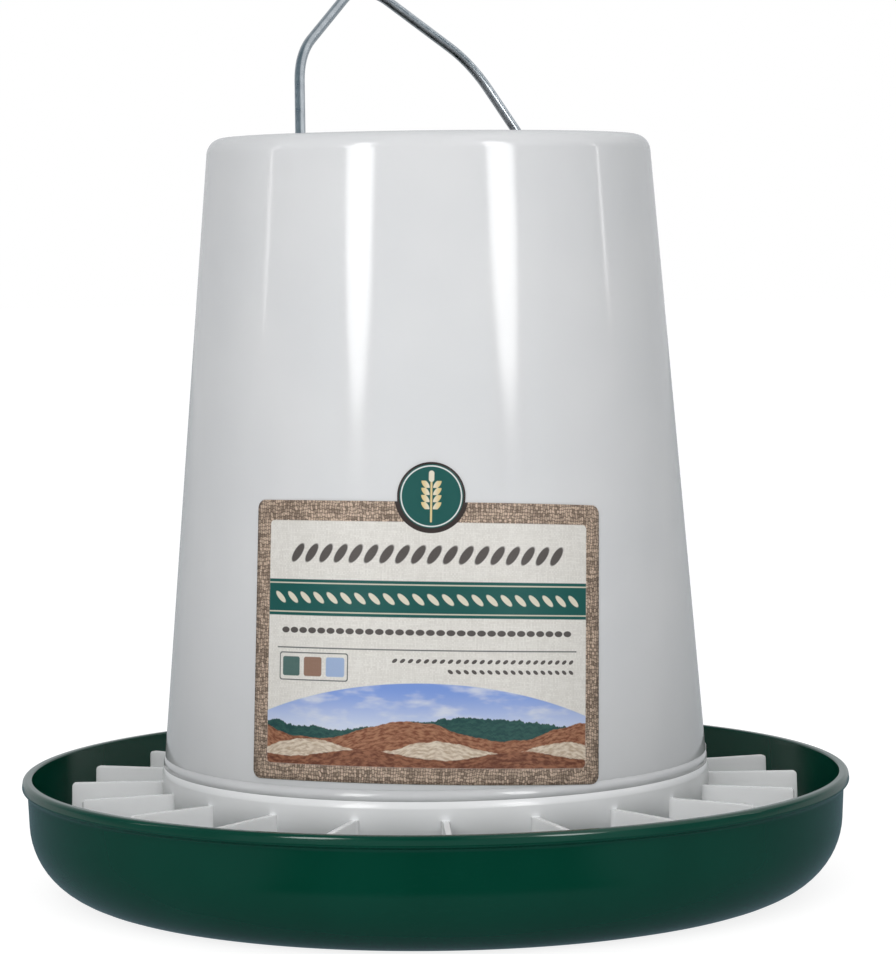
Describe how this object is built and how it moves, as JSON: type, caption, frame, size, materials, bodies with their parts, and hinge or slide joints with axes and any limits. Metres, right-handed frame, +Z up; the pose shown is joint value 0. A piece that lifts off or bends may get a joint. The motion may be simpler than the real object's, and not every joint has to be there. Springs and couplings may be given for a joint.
{
  "type": "hanging poultry feeder",
  "caption": "Round hanging feeder for poultry: a tapered open hopper on a finned ring that twist-locks into a dished pan, with a wire bail to hang it by.",
  "frame": {"origin": "centre of the pan's flat underside, on the surface that the feeder stands on", "axes": "+Z up along the hopper's axis; the label faces -Y; +X to the right as the label is read"},
  "size_m": [0.312, 0.312, 0.3403],
  "materials": {
    "hopper_plastic": "translucent white moulded polypropylene, glossy",
    "ring_plastic": "white moulded polypropylene, satin",
    "pan_plastic": "dark green moulded polypropylene, glossy",
    "bail_wire": "galvanised steel wire, bright",
    "label_film": "printed film, satin"
  },
  "bodies": {
    "pan": {"feed_pan": "pan_plastic"},
    "tube": {"fin_ring": "ring_plastic", "hopper": "hopper_plastic", "label": "label_film"},
    "bail": {"bail": "bail_wire"}
  },
  "joints": [
    {"name": "pan_twist", "type": "hinge", "parent": "pan", "child": "tube", "pos_m": [0, 0, 0.01], "axis": [0, 0, 1], "range_deg": [0, 15]},
    {"name": "bail_swing", "type": "hinge", "parent": "tube", "child": "bail", "pos_m": [0, 0, 0.2693], "axis": [0.6018, 0.7986, 0], "range_deg": [-66.6, 113.4]}
  ]
}
